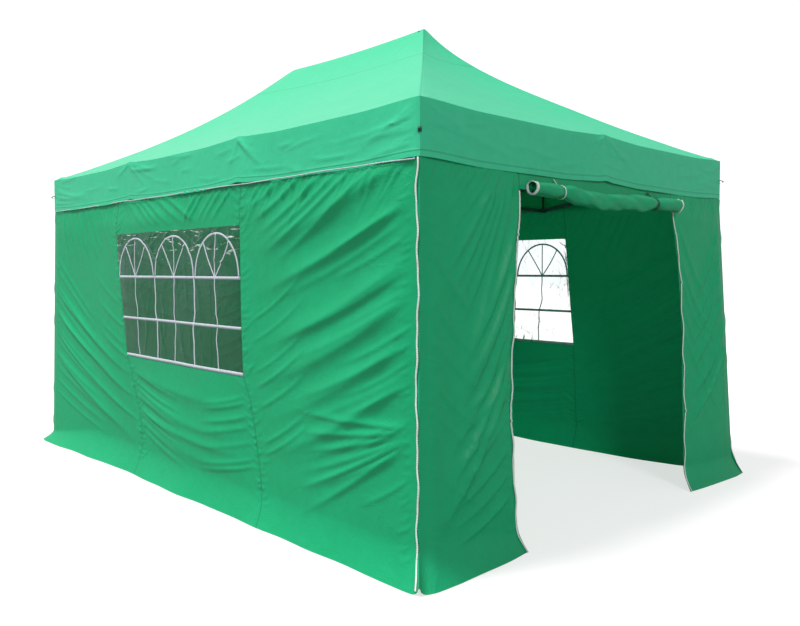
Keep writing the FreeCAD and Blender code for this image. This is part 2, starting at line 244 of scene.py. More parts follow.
# ---- frame: connectors, sliders and thumb buttons
# Injection-moulded black nylon blocks that carry the pivots; the thumb buttons are a pale grey
# nylon so that the hand finds them.
black_nylon, tree = new_material("moulded_black_nylon")
finish_material(tree, moulded_nylon(tree, "17181A", "232528",
                                    add_node(tree, "TexCoord").outputs["Object"]))
button_nylon, tree = new_material("moulded_grey_nylon_button")
finish_material(tree, moulded_nylon(tree, "9A9DA0", "AEB1B4",
                                    add_node(tree, "TexCoord").outputs["Object"]))
for name, node in nodes.items():
    if name.startswith(("connector_", "slider_")):
        give(node, black_nylon)
    elif name.startswith("latch_"):
        give(node, button_nylon)

# ---- frame: feet
# The inner leg and its foot plate are zinc plated steel: a soft grey with the small spangle and
# the dull patches of bright zinc, and a little soil near the ground.
zinc, tree = new_material("zinc_plated_steel")
place = add_node(tree, "TexCoord").outputs["Object"]
height = add_node(tree, "SeparateXYZ", {0: place}).outputs["Z"]
spangle = add_node(tree, "TexVoronoi", {"Vector": place, "Scale": 160.0})
dull = add_node(tree, "TexNoise", {"Vector": place, "Scale": 22.0, "Detail": 5.0})
grey = add_node(tree, "Mix", {
    "Factor": spangle.outputs["Distance"], "A": linear("B9BCBE"), "B": linear("D2D4D5")},
    data_type="RGBA")
low = add_node(tree, "MapRange", {
    "Value": height, "From Min": 0.0, "From Max": 0.05, "To Min": 0.35, "To Max": 0.0})
soiled = add_node(tree, "Mix", {
    "Factor": low.outputs[0], "A": grey.outputs["Result"], "B": linear("8C877C")}, data_type="RGBA")
gloss = add_node(tree, "MapRange", {"Value": dull.outputs["Fac"], "To Min": 0.3, "To Max": 0.5})
bump = add_node(tree, "Bump", {
    "Height": dull.outputs["Fac"], "Strength": 0.15, "Distance": 0.0005})
finish_material(tree, add_node(tree, "BsdfPrincipled", {
    "Base Color": soiled.outputs["Result"], "Metallic": 0.85, "Roughness": gloss.outputs[0],
    "Normal": bump.outputs[0]}))
for name, node in nodes.items():
    if name.startswith("foot_"):
        give(node, zinc)

# ---- roof and valance
# One cover of coated woven polyester: four slopes sewn at the hips, a cap seam near the top, and a
# valance with a turned hem. It is stretched over the king poles and the eave connectors.
column_x = [2.2275, 0.7375, -0.7375, -2.2275]
column_y = [-1.49, 0.0, 1.49]
head_bodies = {}
for i in range(4):
    for j in range(3):
        if i in (0, 3):
            end = "right" if i == 0 else "left"
            name = ("leg_front_" + end, f"connector_{end}_upper", "leg_back_" + end)[j]
        else:
            name = (f"connector_front_{i}_upper", f"king_post_{i}", f"connector_back_{i}_upper")[j]
        head_bodies[i, j] = name
main_body = "leg_front_right"


def hat(value, stops, k):
    """Weight of stop k at each value: 1 at the stop, falling to 0 at its neighbours."""
    order = sorted(range(len(stops)), key=lambda n: stops[n])
    heights = [1.0 if n == k else 0.0 for n in order]
    return np.interp(value, [stops[n] for n in order], heights)


def follow_fold(piece, body=main_body):
    """Cloth hangs from the heads of the frame, and gathers as they draw together."""
    co = np.empty(len(piece.data.vertices) * 3)
    piece.data.vertices.foreach_get("co", co)
    co = co.reshape(-1, 3)
    for (i, j), head in head_bodies.items():
        weight = np.round(hat(co[:, 0], column_x, i) * hat(co[:, 1], column_y, j), 3)
        if head == body or weight.max() < 0.001:
            continue
        group = piece.vertex_groups.new(name=head)
        order = np.argsort(weight)
        values, first = np.unique(weight[order], return_index=True)
        for value, part in zip(values, np.split(order, first[1:])):
            if value > 0:
                group.add(part.tolist(), float(value), "REPLACE")
        hook = piece.modifiers.new(head, "HOOK")
        hook.object, hook.vertex_group = bodies[head], head
        hook.matrix_inverse = Matrix.Identity(4)
    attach(piece, body)


def dress(piece, material, body=main_body, instead_of=None):
    """A cloth piece gets its material and its hooks, and the CAD node it stands for is hidden."""
    give(piece, material)
    if instead_of:
        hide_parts(instead_of)
    follow_fold(piece, body)


def grid_piece(name, points, keep=None, wrap=False, flat=None, marks=None):
    """A sheet from a grid of points, rows upward and columns to the right seen from outside.
    keep drops faces, flat is its UV in metres, and marks are values kept at each point."""
    rows, cols = points.shape[:2]
    index = np.arange(rows * cols).reshape(rows, cols)
    right = np.roll(index, -1, axis=1) if wrap else index[:, 1:]
    left = index if wrap else index[:, :-1]
    quads = np.stack([left[:-1], right[:-1], right[1:], left[1:]], axis=-1)
    if keep is not None:
        quads = quads[keep]
    quads = quads.reshape(-1, 4)
    used, packed = np.unique(quads, return_inverse=True)
    quads = packed.reshape(-1, 4)
    mesh = bpy.data.meshes.new(name)
    mesh.from_pydata(points.reshape(-1, 3)[used].tolist(), [], quads.tolist())
    for key, value in (marks or {}).items():
        layer = mesh.attributes.new(key, "FLOAT", "POINT")
        layer.data.foreach_set("value", value.reshape(-1)[used].astype(np.float32))
    if flat is not None:
        corner = np.empty(len(mesh.loops), np.int32)
        mesh.loops.foreach_get("vertex_index", corner)
        uv = flat.reshape(-1, 2)[used][corner]
        mesh.uv_layers.new(name="flat").data.foreach_set("uv", uv.astype(np.float32).ravel())
    mesh.polygons.foreach_set("use_smooth", np.ones(len(mesh.polygons), bool))
    mesh.update()
    piece = bpy.data.objects.new(name, mesh)
    bpy.context.scene.collection.objects.link(piece)
    return piece


def smooth_step(value, low, high):
    part = np.clip((value - low) / (high - low), 0, 1)
    return part * part * (3 - 2 * part)


def fold_heights(folds, a, z):
    """Sum of soft folds at (a, z) on a cloth. A fold runs from one point to another, sags by bow
    below that line, and is steeper on its lower side. A pucker is strong at its start only."""
    total = np.zeros(a.shape)
    for a0, z0, a1, z1, bow, width, high, kind in folds:
        da, dz = a1 - a0, z1 - z0
        span = math.hypot(da, dz)
        t = ((a - a0) * da + (z - z0) * dz) / span ** 2
        near = (t > 0) & (t < 1)
        t = t[near]
        side = 1 if da >= 0 else -1
        s = side * ((z[near] - z0) * da - (a[near] - a0) * dz) / span + bow * 4 * t * (1 - t)
        if kind == "pucker":
            ends = smooth_step(t, 0, 0.15) * (1 - t) ** 0.8
            wide = width * (0.6 + t)
        else:
            ends = smooth_step(t, 0, 0.22) * (1 - smooth_step(t, 0.55, 1))
            wide = width * (0.7 + 0.7 * t)
        reach = np.where(s > 0, wide, wide * 0.6)
        crest = 0.28 * reach
        total[near] += high * ends * np.exp((crest - np.hypot(s, crest)) / (0.55 * reach))
    return total


eave_x, eave_y = 2.2615, 1.524
eave_z, ridge_z = 2.2708, 3.218
ridge_end = 0.7675
hip_sag, peak_sag = 0.095, 0.055
ridge_round = 0.025
cap_level = 0.83
valance_low_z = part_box("canopy")[0].z
valance_drop = eave_z - valance_low_z
hem_height = 0.03
rng = np.random.default_rng(11)


def roof_sides():
    """Small folds of each side, as seen from outside: a along the eave, z from the eave line."""
    made = []
    for half, mids in ((eave_x, (-0.7375, 0.7375)), (eave_y, (0.0,))) * 2:
        folds = []
        for s in (-1, 1):
            for k in range(7):
                start = (s * (half - 0.01), -0.02 - 0.03 * k)
                reach = rng.uniform(0.35, 0.9)
                folds.append((*start, s * (half - reach), -rng.uniform(0.12, 0.26),
                              0.01, rng.uniform(0.014, 0.028), rng.uniform(0.003, 0.007), "pucker"))
            for k in range(5):
                reach = rng.uniform(0.3, 1.1)
                folds.append((s * (half - 0.03), 0.02, s * (half - reach), rng.uniform(0.1, 0.5) * reach,
                              0.0, 0.022, rng.uniform(0.002, 0.006), "pucker"))
        for mid in mids:
            for k in range(6):
                way = rng.choice((-1, 1))
                folds.append((mid + rng.uniform(-0.03, 0.03), -0.005, mid + way * rng.uniform(0.1, 0.5),
                              -rng.uniform(0.05, 0.22), 0.01, 0.016, rng.uniform(0.003, 0.008), "pucker"))
        for k in range(int(half * 9)):
            a = rng.uniform(-half, half)
            z = -rng.uniform(0.02, 0.25)
            folds.append((a, z, a + rng.choice((-1, 1)) * rng.uniform(0.15, 0.5),
                          z + rng.uniform(-0.05, 0.05), rng.uniform(-0.01, 0.02),
                          rng.uniform(0.012, 0.022), rng.uniform(0.002, 0.005), "swag"))
        made.append((half, mids, folds))
    return made


side_steps = {0: 300, 1: 200, 2: 300, 3: 200}
slope_length = 1.767
slope_levels = np.concatenate([np.linspace(0, 0.97, 56, endpoint=False), np.linspace(0.97, 1, 7),
                               cap_level + np.array([-0.004, 0.0, 0.004]) / slope_length])
slope_levels.sort()
valance_depths = np.concatenate([[1.0, 0.995], np.linspace(1 - hem_height / valance_drop, 0.02, 24),
                                 [0.008]])
rows = np.concatenate([-valance_depths, slope_levels])
outward = np.array([[0, -1], [1, 0], [0, 1], [-1, 0]])
along = np.array([[1, 0], [0, 1], [-1, 0], [0, -1]])
blocks, flat_blocks, seam_blocks = [], [], []
for side, (half, mids, folds) in enumerate(roof_sides()):
    part = np.linspace(0, 1, side_steps[side], endpoint=False)[None, :]
    level = np.clip(rows, 0, 1)[:, None]
    depth = np.clip(-rows, 0, 1)[:, None] * valance_drop
    long_side = side % 2 == 0
    plan_half = (eave_x if long_side else eave_y) * (1 - level)
    if long_side:
        plan_half = plan_half + ridge_end * level
    reach_out = eave_y * (1 - level) if long_side else eave_x + (ridge_end - eave_x) * level
    a = plan_half * (2 * part - 1)
    fall = (ridge_z - eave_z) * (1 - level) + 4 * hip_sag * level * (1 - level) * (0.80 + 0.7 * level)
    to_right = ((1 + a / np.maximum(plan_half, 1e-6)) / 2, 1.0, (1 - a / np.maximum(plan_half, 1e-6)) / 2,
                0.0)[side]
    fall = fall + peak_sag * to_right * smooth_step(level, 0.45, 0.92) * (1 - level ** 24)
    fall = fall * (ridge_z - eave_z + ridge_round) / (ridge_z - eave_z)
    fall = np.hypot(fall, ridge_round) - ridge_round
    middle = 1 - (a / np.maximum(plan_half, 1e-6)) ** 2
    panel_sag = 0.035 * middle * np.sin(np.pi * level) ** 0.8
    ridge_sag = 0.015 * np.clip(1 - (a / ridge_end) ** 2, 0, 1) * level ** 3 if long_side else 0.0
    stops = sorted([-half, half, *mids])
    nearest = np.min(np.abs(a[..., None] - np.array(stops)), axis=-1)
    eave_sag = 0.014 * smooth_step(nearest, 0.0, 0.45) * (1 - smooth_step(level, 0, 0.22))
    bump_up = sum(0.007 * np.exp(-((a - m) / 0.05) ** 2) for m in mids) * (1 - smooth_step(level, 0, 0.07))
    slope_reach = level * slope_length
    down_cloth = np.where(rows[:, None] < 0, -depth, slope_reach) + 0 * a
    lift = fold_heights(folds, a + 0 * level, down_cloth)
    edge = smooth_step(half - np.abs(a), 0.0, 0.06)
    billow = (0.007 * depth / valance_drop + 0.004 * np.sin(a * 3.1 + side) * depth / valance_drop
              + 0.003 * np.sin(a * 9.7 + 2 * side) * depth / valance_drop)
    turned = 0.0016 * (depth > valance_drop - hem_height - 0.001) * (rows[:, None] < 0)
    up_share = np.where(rows[:, None] < 0, 0.0, 0.85)
    out_share = np.where(rows[:, None] < 0, 1.0, 0.53)
    lift = lift * (0.2 + 0.8 * edge)
    out = reach_out + (billow + turned) * (0.3 + 0.7 * edge) + lift * out_share
    z = ridge_z - fall - panel_sag - ridge_sag - eave_sag + bump_up + lift * up_share - depth
    spot = out[..., None] * outward[side] + a[..., None] * along[side]
    blocks.append(np.concatenate([spot, z[..., None]], axis=-1))
    flat_blocks.append(np.stack([a + 4.6 * side, down_cloth], -1))
    to_hip = np.where(rows[:, None] < 0, 1.0, (plan_half - np.abs(a)))
    to_cap = np.abs(level - cap_level) * slope_length + np.where(rows[:, None] < 0, 1.0, 0.0)
    to_hem = np.where(rows[:, None] < 0, np.abs(depth - valance_drop + hem_height), 1.0)
    seam_blocks.append(np.minimum.reduce([to_hip, to_cap + 0 * a, to_hem + 0 * a]))
roof_points = np.concatenate(blocks, axis=1)
on_slope = smooth_step(rows, 0.0, 0.15)[:, None, None]
for _ in range(2):
    eased = 0.5 * roof_points + 0.25 * (np.roll(roof_points, 1, 1) + np.roll(roof_points, -1, 1))
    roof_points = roof_points + (eased - roof_points) * on_slope
roof_points[-1] = np.concatenate(blocks, axis=1)[-1]
canopy = grid_piece("canopy_cloth", roof_points, wrap=True, flat=np.concatenate(flat_blocks, axis=1),
                    marks={"seam": np.concatenate(seam_blocks, axis=1)})
merging = bmesh.new()
merging.from_mesh(canopy.data)
bmesh.ops.remove_doubles(merging, verts=merging.verts, dist=0.0002)
merging.to_mesh(canopy.data)
merging.free()
bpy.ops.object.select_all(action="DESELECT")
canopy.select_set(True)
bpy.context.view_layer.objects.active = canopy
bpy.ops.object.shade_smooth_by_angle(angle=math.radians(44))


def coated_cloth(name, colour, lit, glow, crumpled, shine, sheen, stitched):
    """Woven polyester with a soft coating: threads 0.5 mm apart drawn at 8 mm so that they show,
    crumple marks from storage, and seams as a dark raised line that fades within 6 mm."""
    made, tree = new_material(name)
    flat = add_node(tree, "UVMap", uv_map="flat").outputs[0]
    seam = add_node(tree, "Attribute", attribute_name="seam").outputs["Fac"]
    warp = add_node(tree, "TexWave", {"Vector": flat, "Scale": 12.5 * math.pi},
                    bands_direction="X")
    weft = add_node(tree, "TexWave", {"Vector": flat, "Scale": 12.5 * math.pi},
                    bands_direction="Y")
    weave = add_node(tree, "Math", {0: warp.outputs["Fac"], 1: weft.outputs["Fac"]},
                     operation="MULTIPLY")
    bend = add_node(tree, "TexNoise", {"Vector": flat, "Scale": 2.6, "Detail": 4.0})
    bent = add_node(tree, "VectorMath", {0: flat, 1: bend.outputs["Color"]}, operation="ADD")
    crumple = add_node(tree, "TexVoronoi", {"Vector": bent.outputs[0], "Scale": 5.5},
                       feature="DISTANCE_TO_EDGE")
    mark = add_node(tree, "MapRange", {
        "Value": crumple.outputs["Distance"], "From Max": 0.05, "To Min": 1.0, "To Max": 0.0})
    patch = add_node(tree, "TexNoise", {"Vector": flat, "Scale": 1.7, "Detail": 2.0})
    where = add_node(tree, "MapRange", {
        "Value": patch.outputs["Fac"], "From Min": 0.45, "From Max": 0.62})
    marks = add_node(tree, "Math", {0: mark.outputs[0], 1: where.outputs[0]},
                     operation="MULTIPLY")
    ripple = add_node(tree, "TexNoise", {
        "Vector": flat, "Scale": 13.0, "Detail": 5.0, "Roughness": 0.55, "Distortion": 0.6})
    row = add_node(tree, "MapRange", {
        "Value": seam, "From Min": 0.002, "From Max": 0.006, "To Min": 1.0, "To Max": 0.0})
    tone = add_node(tree, "Mix", {
        "Factor": ripple.outputs["Fac"], "A": linear(colour), "B": linear(lit)}, data_type="RGBA")
    thread = add_node(tree, "Math", {0: row.outputs[0], 1: stitched}, operation="MULTIPLY")
    shade = add_node(tree, "Mix", {
        "Factor": thread.outputs[0], "A": tone.outputs["Result"], "B": linear("0E5A38")},
        data_type="RGBA")
    threads = add_node(tree, "Bump", {
        "Height": weave.outputs[0], "Strength": 0.12, "Distance": 0.0006})
    soft = add_node(tree, "Bump", {
        "Height": ripple.outputs["Fac"], "Strength": 0.4, "Distance": 0.007, "Normal": threads.outputs[0]})
    sharp = add_node(tree, "Bump", {
        "Height": marks.outputs[0], "Strength": crumpled, "Distance": 0.003, "Normal": soft.outputs[0]})
    sewn = add_node(tree, "Bump", {
        "Height": row.outputs[0], "Strength": 0.6, "Distance": 0.002, "Normal": sharp.outputs[0]})
    gloss = add_node(tree, "MapRange", {
        "Value": patch.outputs["Fac"], "To Min": 0.36, "To Max": 0.5})
    face = add_node(tree, "BsdfPrincipled", {
        "Base Color": shade.outputs["Result"], "Roughness": gloss.outputs[0], "IOR": 1.5,
        "Specular IOR Level": shine, "Normal": sewn.outputs[0], "Sheen Weight": sheen, "Sheen Roughness": 0.4,
        "Sheen Tint": linear("C8FFE6")})
    through = add_node(tree, "BsdfTranslucent", {
        "Color": shade.outputs["Result"], "Normal": sewn.outputs[0]})
    finish_material(tree, add_node(tree, "MixShader", {
        0: glow, 1: face.outputs[0], 2: through.outputs[0]}))
    return made


roof_cloth = coated_cloth("green_coated_polyester_roof", "2FC592", "3DD0A0", 0.20, 0.06, 0.50, 0.06, 0.30)
dress(canopy, roof_cloth, instead_of="canopy")

# ---- side walls: how a wall is set out
# Each wall is cut from two or three widths of the same cloth, hooked under the valance, zipped to its
# neighbours at the corners, and left with a loose skirt that lies out on the ground.
wall_out_x, wall_out_y = 2.2595, 1.522
wall_top_z, wall_low_z = 2.235, 0.003
skirt_z = 0.2


def upright(a):
    """The upright line at a along a wall, as heights and places along."""
    return [0, 3], [a, a]


def new_wall(along, out, plane, half, flare, rounds=(0.0, 0.0), splay=(0.0, 0.0), meet=(0.0, 0.0)):
    """How a wall is set out. Pairs are for its low and high ends: rounds are the radii of the lower
    corners, splay is how far a corner leans out at the ground, and meet is how far its skirt
    reaches along to meet the neighbouring skirt."""
    return {"along": np.array(along, float), "out": np.array(out, float), "plane": plane,
            "half": half, "flare": flare, "folds": [], "waves": [], "rounds": rounds, "splay": splay,
            "meet": meet, "skirt": ([-half, half], [skirt_z, skirt_z])}


def on_wall(wall, a, z, lift=0.0):
    """Points of a wall's cloth, from a along the wall and z up it; lift is outward from it."""
    a, z = np.broadcast_arrays(np.asarray(a, float), np.asarray(z, float))
    half = wall["half"]
    edge = smooth_step(half - np.abs(a), 0.0, 0.10)
    below, hung = 1 - smooth_step(z, 1.93, 2.06), 1 - smooth_step(z, 1.80, 1.98)
    depth = fold_heights(wall["folds"], a, z) * edge * (0.12 + 0.88 * below)
    for size, along_a, along_z, start in wall["waves"]:
        depth = depth + size * (1 + np.sin(along_a * a + along_z * z + start)) * edge * hung
    hem = np.clip(1 - z / np.interp(a, *wall["skirt"]), 0, 1)
    depth = depth + np.interp(a, *wall["flare"]) * hem ** 1.6
    ripple = 0.005 * np.sin(a * 5.3 + half) + 0.003 * np.sin(a * 13.0 + 1.0)
    depth = depth + ripple * hem ** 2 * edge
    for side, radius in zip((-1, 1), wall["rounds"]):
        if radius:
            inside = np.clip(side * a - (half - radius), 0, radius * 0.999)
            rise = radius - np.sqrt(radius ** 2 - inside ** 2)
            z = z + rise * np.clip(1 - z / 0.35, 0, 1) ** 2
    pull = 0.0
    for side, splay, meet in zip((-1, 1), wall["splay"], wall["meet"]):
        lean = splay * np.clip(1 - z / 2.0, 0, 1)
        depth = depth + lean * smooth_step(side * a, half - 0.9, half)
        pull = pull + side * (lean * smooth_step(side * a, half - 0.9, half)
                              + meet * hem ** 1.6 * smooth_step(side * a, half - 0.4, half))
    spot = (wall["plane"] + depth + lift)[..., None] * wall["out"] + (a + pull)[..., None] * wall["along"]
    spot[..., 2] += z
    return spot


def row_heights(stops, step):
    """Heights of the rows of a wall, with a row at each stop."""
    parts = [np.linspace(lo, hi, max(2, round((hi - lo) / step)), endpoint=False)
             for lo, hi in zip(stops, stops[1:])]
    return np.concatenate([*parts, [stops[-1]]])


def cloth_wall(name, wall, lines, heights, step, open_blocks=()):
    """The wall's sheet. lines are the upright seams and edges, each (heights, places along);
    open_blocks are (block, low, high) left out for a window or a door."""
    z = heights[:, None]
    cuts = [np.interp(heights, *line)[:, None] for line in lines]
    counts = [max(3, round(float(np.max(hi - lo)) / step)) for lo, hi in zip(cuts, cuts[1:])]
    a = np.concatenate([lo + (hi - lo) * np.linspace(0, 1, n, endpoint=False)
                        for lo, hi, n in zip(cuts, cuts[1:], counts)] + [cuts[-1]], axis=1)
    z = z + 0 * a
    block = np.repeat(np.arange(len(counts)), counts)
    keep = np.ones((a.shape[0] - 1, a.shape[1] - 1), bool)
    for which, low, high in open_blocks:
        middle = (heights[:-1] + heights[1:]) / 2
        keep &= ~((block == which)[None, :] & (middle > low)[:, None] & (middle < high)[:, None])
    to_seam = np.min([np.abs(a - cut) for cut in cuts[1:-1]], axis=0)
    return grid_piece(name, on_wall(wall, a, z), keep=keep, flat=np.stack([a, z], -1),
                      marks={"seam": to_seam})


def family(rng, count, start, end, bow, width, high, loose=0.3):
    """Swags whose ends run along two lines; start and end are each a pair of points."""
    made = []
    for k in range(count):
        t = (k + rng.uniform(0.2, 0.8)) / count
        a0, z0 = (np.array(start[0]) * (1 - t) + np.array(start[1]) * t)
        a1, z1 = (np.array(end[0]) * (1 - t) + np.array(end[1]) * t)
        vary = rng.uniform(1 - loose, 1 + loose, 3)
        made.append((a0, z0, a1, z1, bow * vary[0], width * vary[1], high * vary[2], "swag"))
    return made


def add_swags(wall, rng, *rows):
    """Families of swags on a wall, each row as family takes it."""
    for row in rows:
        wall["folds"] += family(rng, *row)


def puckers(rng, line, low, high, step, side, reach, size, rise=0.35):
    """Small gathers along an upright seam, on one side of it."""
    made = []
    z = low
    while z < high:
        z += step * rng.uniform(0.6, 1.5)
        a = float(np.interp(z, *line))
        long = reach * rng.uniform(0.5, 1.5)
        made.append((a, z, a + side * long, z + long * rng.uniform(rise - 0.3, rise + 0.3),
                     0.01, rng.uniform(0.007, 0.012), size * rng.uniform(0.5, 1.5), "pucker"))
    return made


def gathers(rng, left, right, top, step, reach, size, lean):
    """Small gathers that hang from the top edge."""
    made = []
    a = left
    while a < right:
        a += step * rng.uniform(0.5, 1.6)
        long = reach * rng.uniform(0.4, 1.5)
        made.append((a, top, a + lean * long * rng.uniform(0.3, 1.6), top - long, 0.0,
                     rng.uniform(0.010, 0.019), size * rng.uniform(0.5, 1.5), "pucker"))
    return made


def strip(name, spots, sideways, upward, profile):
    """A closed strip swept along spots. profile is a loop of (sideways, upward) offsets."""
    spots, count = np.asarray(spots, float), len(profile)
    sideways = np.broadcast_to(np.asarray(sideways, float), spots.shape)
    upward = np.broadcast_to(np.asarray(upward, float), spots.shape)
    points = np.stack([spots + s * sideways + u * upward for s, u in profile], axis=1)
    rows = len(spots)
    faces = []
    for r in range(rows - 1):
        for c in range(count):
            d = (c + 1) % count
            faces.append((r * count + c, r * count + d, (r + 1) * count + d, (r + 1) * count + c))
    faces.append(tuple(range(count))[::-1])
    faces.append(tuple((rows - 1) * count + c for c in range(count)))
    mesh = bpy.data.meshes.new(name)
    mesh.from_pydata(points.reshape(-1, 3).tolist(), [], faces)
    steps = np.concatenate([[0], np.cumsum(np.linalg.norm(np.diff(spots, axis=0), axis=1))])
    layer = mesh.uv_layers.new(name="flat")
    for loop in mesh.loops:
        r, c = divmod(loop.vertex_index, count)
        layer.data[loop.index].uv = (profile[c][0], steps[r])
    mesh.polygons.foreach_set("use_smooth", np.ones(len(mesh.polygons), bool))
    mesh.update()
    turned = bmesh.new()
    turned.from_mesh(mesh)
    bmesh.ops.recalc_face_normals(turned, faces=turned.faces)
    turned.to_mesh(mesh)
    turned.free()
    piece = bpy.data.objects.new(name, mesh)
    bpy.context.scene.collection.objects.link(piece)
    return piece


def band(half, low, high):
    """Profile of a flat band, half its width either side and from low to high."""
    return [(-half, low), (half, low), (half, high), (-half, high)]


def across(spots, way):
    """Unit vectors at right angles to the run of spots and to way."""
    side = np.cross(np.gradient(spots, axis=0), way)
    return side / np.linalg.norm(side, axis=1)[:, None]


def ribbed(name, dark, light, rib_scale, soil_scale, soil_detail, relief, rough, sheen=0.0):
    """Ribbed tape, coil or webbing. relief is the ribs' strength and distance, rough a range."""
    made, tree = new_material(name)
    flat = add_node(tree, "UVMap", uv_map="flat").outputs[0]
    ribs = add_node(tree, "TexWave", {"Vector": flat, "Scale": rib_scale}, bands_direction="Y")
    soil = add_node(tree, "TexNoise", {"Vector": flat, "Scale": soil_scale, "Detail": soil_detail})
    tone = add_node(tree, "Mix", {
        "Factor": soil.outputs["Fac"], "A": linear(dark), "B": linear(light)}, data_type="RGBA")
    bump = add_node(tree, "Bump", {
        "Height": ribs.outputs["Fac"], "Strength": relief[0], "Distance": relief[1]})
    gloss = add_node(tree, "MapRange", {
        "Value": soil.outputs["Fac"], "To Min": rough[0], "To Max": rough[1]})
    finish_material(tree, add_node(tree, "BsdfPrincipled", {
        "Base Color": tone.outputs["Result"], "Roughness": gloss.outputs[0],
        "Normal": bump.outputs[0], "Sheen Weight": sheen}))
    return made


def joined(name, parts):
    """Several like strips made one piece."""
    bpy.ops.object.select_all(action="DESELECT")
    for part in parts:
        part.select_set(True)
    bpy.context.view_layer.objects.active = parts[0]
    if len(parts) > 1:
        bpy.ops.object.join()
    parts[0].name = name
    parts[0].data.name = name
    return parts[0]


wall_cloth = coated_cloth("green_coated_polyester_wall", "0CA46C", "14B07A", 0.22, 0.22, 0.36, 0.03, 0.50)

# ---- front and back walls, with a clear window
# Three widths joined by two puckered seams. The middle width has a clear pane between the seams;
# the cloth hangs in swags from the upper corners to the seams.
front_seams = (([0.0, 0.07, 0.23, 0.41, 0.65, 0.855, 1.75, 2.24],
                [-0.62, -0.62, -0.595, -0.62, -0.72, -0.82, -0.945, -0.955]),
               ([0.0, 0.09, 0.33, 0.55, 0.72, 0.86, 1.75, 2.24],
                [1.0, 0.99, 0.95, 0.905, 0.86, 0.79, 0.757, 0.76]))
back_seams = (([0.0, 0.855, 1.75, 2.24], [-1.09, -1.03, -0.93, -0.93]),
              ([0.0, 0.855, 1.75, 2.24], [0.62, 0.66, 0.70, 0.72]))
window_low_z, window_high_z = 0.855, 1.755
long_half = wall_out_x


def long_wall_folds(wall, seed):
    """Swags of a long wall: the right width falls to the left, the left width to the right."""
    rng = np.random.default_rng(seed)
    folds = wall["folds"]
    left, right = wall["seams"]
    at_left = [float(np.interp(h, *left)) for h in (0.2, 0.8, 1.4, 1.9)]
    at_right = [float(np.interp(h, *right)) for h in (0.2, 0.8, 1.4, 1.9)]
    edge_a = 2.24
    add_swags(
        wall, rng,
        (6, ((edge_a, 2.10), (edge_a, 0.85)), ((at_right[2] + 0.02, 1.62), (at_right[0], 0.22)),
         0.05, 0.095, 0.022, 0.3),
        (8, ((edge_a, 1.95), (edge_a, 0.6)), ((1.0, 1.50), (1.25, 0.20)),
         0.03, 0.040, 0.009),
        (8, ((edge_a, 1.9), (edge_a, 0.5)), ((1.5, 1.65), (1.8, 0.25)),
         0.02, 0.022, 0.006),
        (6, ((edge_a, 0.76), (edge_a, 0.70)), ((1.25, 0.80), (1.30, 0.05)),
         0.02, 0.026, 0.013),
        (6, ((1.15, 2.03), (2.10, 2.03)), ((at_right[3] + 0.02, 1.86), (1.05, 1.45)),
         0.03, 0.036, 0.013),
        (7, ((at_right[1], 1.25), (at_right[0], 0.30)), ((1.45, 1.60), (1.5, 0.60)),
         0.03, 0.020, 0.006),
        (7, ((-edge_a, 1.95), (-edge_a, 0.75)), ((at_left[2] - 0.02, 1.25), (at_left[0], 0.15)),
         0.05, 0.050, 0.016, 0.3),
        (11, ((-edge_a, 1.75), (-edge_a, 0.4)), ((-1.3, 1.10), (-1.1, 0.12)),
         0.03, 0.022, 0.007),
        (7, ((-2.15, 2.02), (-1.3, 2.02)), ((-2.0, 1.45), (at_left[2] - 0.04, 1.55)),
         0.01, 0.026, 0.008),
        (7, ((at_left[2] - 0.02, 1.3), (at_left[0], 0.3)), ((-1.4, 1.55), (-1.3, 0.5)),
         0.02, 0.020, 0.006),
        (4, ((at_left[1], 0.80), (at_left[0], 0.30)), ((at_right[1], 0.70), (at_right[0], 0.20)),
         0.07, 0.065, 0.010),
        (8, ((at_left[1], 0.78), (at_left[0], 0.3)), ((0.1, 0.62), (0.2, 0.12)),
         0.02, 0.022, 0.007),
        (7, ((at_right[1], 0.80), (at_right[0], 0.3)), ((0.25, 0.70), (0.15, 0.15)),
         0.02, 0.024, 0.007),
        (6, ((-0.92, 2.01), (-0.2, 2.01)), ((-0.55, 1.77), (0.35, 1.77)),
         0.0, 0.024, 0.009),
        (5, ((0.74, 2.01), (0.2, 2.01)), ((0.45, 1.77), (0.0, 1.77)),
         0.0, 0.022, 0.009))
    for line in (left, right):
        for way in (-1, 1):
            folds += puckers(rng, line, 0.10, 1.98, 0.030, way, 0.09, 0.0065, 0.45)
    for side, way in ((-1, 1), (1, -1)):
        edge_line = upright(side * (long_half - 0.045))
        folds += puckers(rng, edge_line, 0.10, 1.95, 0.040, way, 0.08, 0.006, -0.45)
    folds += gathers(rng, -2.2, -0.9, 2.01, 0.060, 0.20, 0.008, 0.5)
    folds += gathers(rng, -0.85, 0.75, 2.01, 0.05, 0.15, 0.009, 0.35)
    folds += gathers(rng, 0.8, 2.18, 2.01, 0.055, 0.26, 0.009, -0.6)
    wall["folds"] = [f for f in folds if not (
        at_left[2] < f[2] < at_right[2] - 0.02 and window_low_z < f[3] < window_high_z - 0.02)]
    wall["waves"] = [(0.008, 1.9, 1.1, 0.4), (0.005, 3.7, -2.3, 1.9), (0.002, 9.0, 6.0, 0.2)]


long_rows = row_heights([wall_low_z, 0.03, window_low_z, window_high_z, wall_top_z], 0.0105)


def make_long_wall(name, wall, seams, seed, body):
    """The cloth of a long wall with its window left open."""
    wall["seams"] = seams
    long_wall_folds(wall, seed)
    ends = [upright(-long_half), *seams, upright(long_half)]
    piece = cloth_wall(name + "_cloth", wall, ends, long_rows, 0.0115,
                       [(1, window_low_z, window_high_z)])
    dress(piece, wall_cloth, body, instead_of=name)
    return piece


